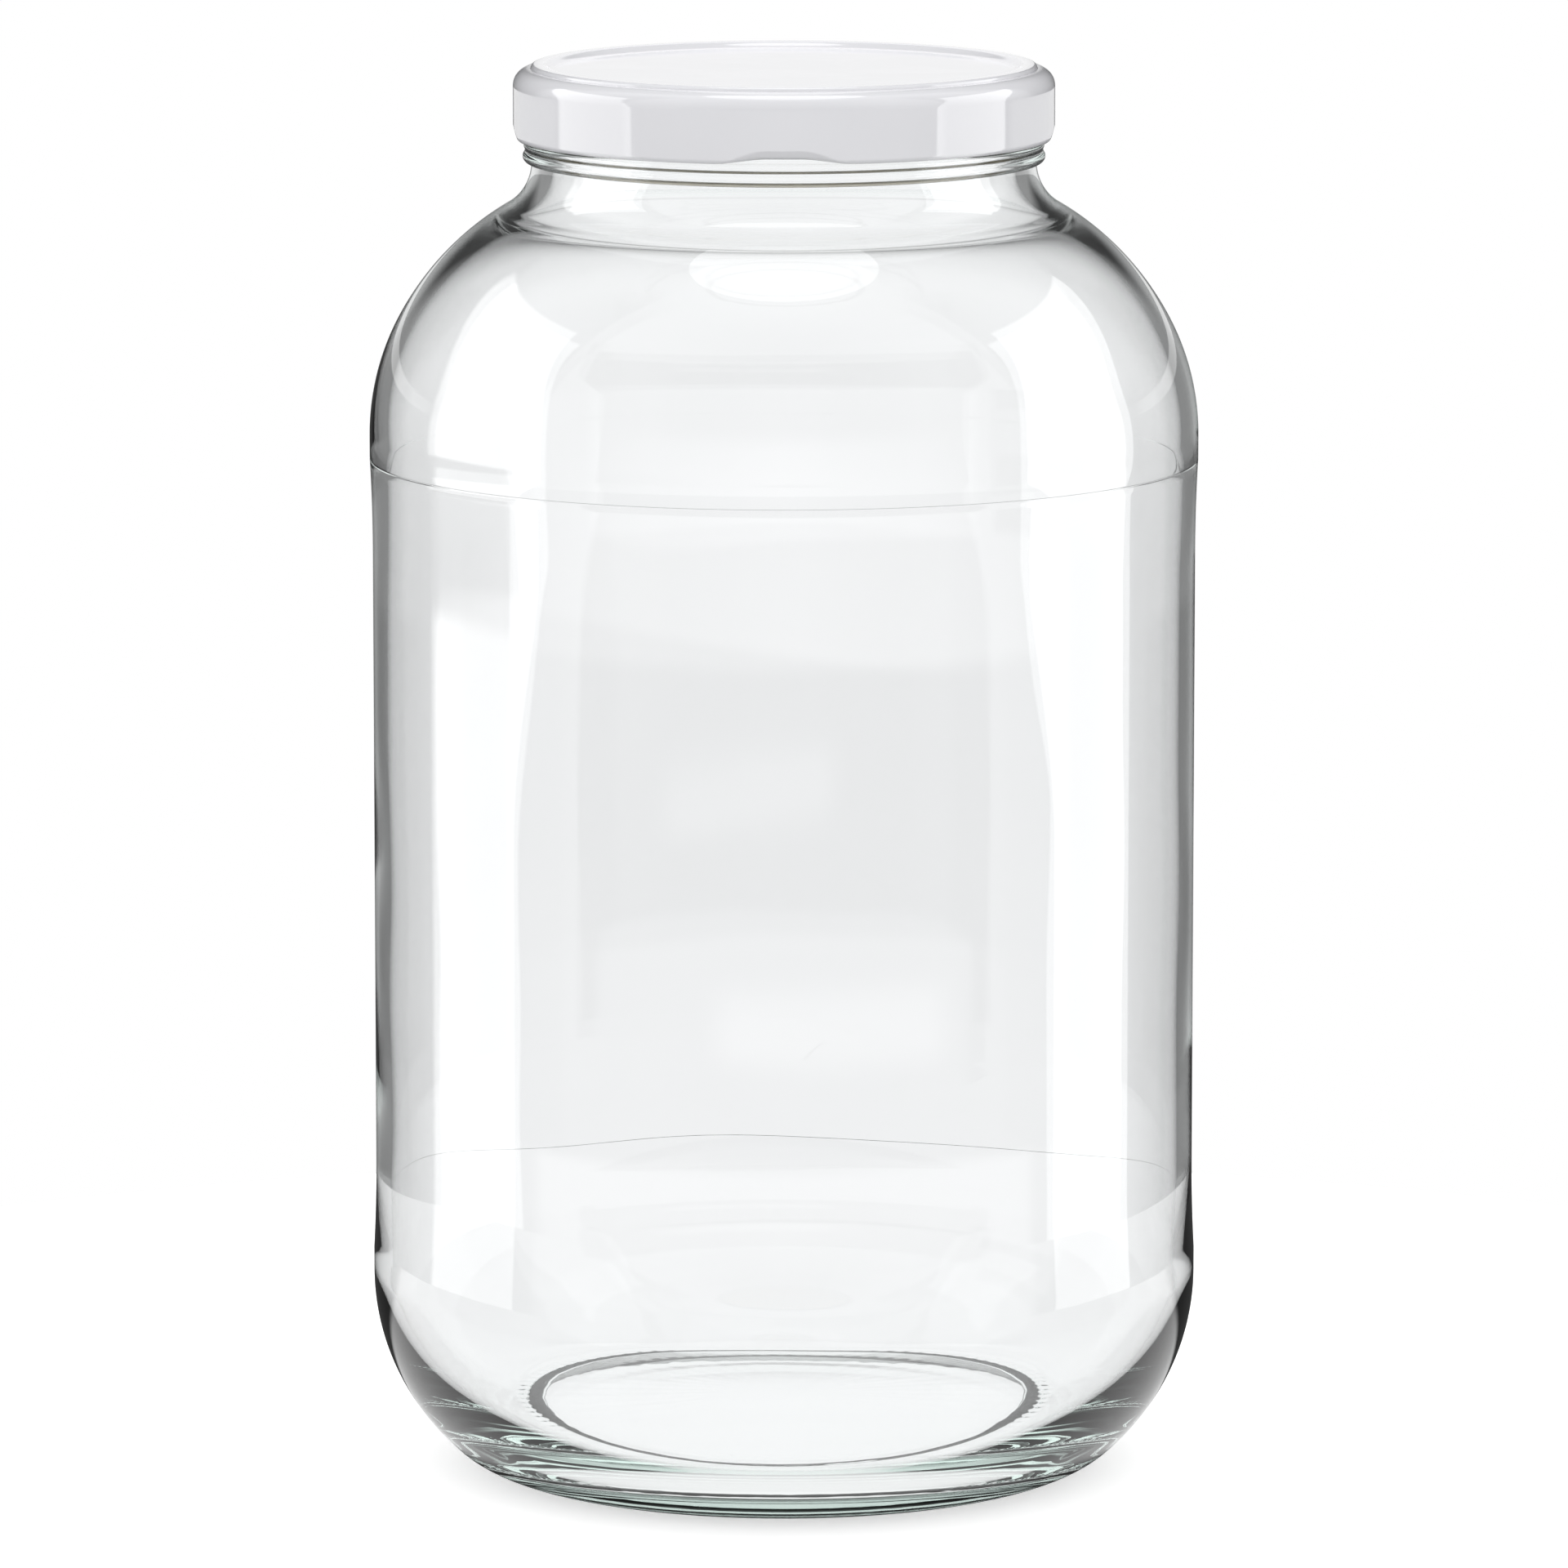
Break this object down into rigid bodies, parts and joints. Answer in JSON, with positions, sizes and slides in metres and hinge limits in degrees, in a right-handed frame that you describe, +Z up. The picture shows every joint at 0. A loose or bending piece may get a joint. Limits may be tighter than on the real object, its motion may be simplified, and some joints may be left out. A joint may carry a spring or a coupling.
{
  "type": "preserving jar",
  "caption": "Wide-mouth clear glass preserving jar with a round shoulder, a recessed label panel, a pushed-up base and a white pressed twist-off lid with its sealing ring.",
  "frame": {"origin": "middle of the ring that the jar stands on, at the level of the table", "axes": "+Z up along the jar's axis towards the lid; +X and +Y across the jar, with the pictured front towards -Y"},
  "size_m": [0.157, 0.157, 0.2687],
  "materials": {
    "clear_glass": "clear colourless container glass with a faint green cast, fire-polished",
    "white_enamel": "glossy white baked enamel on tinplate",
    "sealing_compound": "soft matt cream sealing compound"
  },
  "bodies": {
    "jar": {"jar_glass": "clear_glass"},
    "seal": {"lid_gasket": "sealing_compound"},
    "lid": {"lid_shell": "white_enamel"}
  },
  "joints": [
    {"name": "lid_lift", "type": "slide", "parent": "jar", "child": "seal", "axis": [0, 0, 1], "range_m": [0, 0.12]},
    {"name": "lid_turn", "type": "hinge", "parent": "seal", "child": "lid", "pos_m": [0, 0, 0.267], "axis": [0, 0, 1], "range_deg": [-45, 0]}
  ]
}
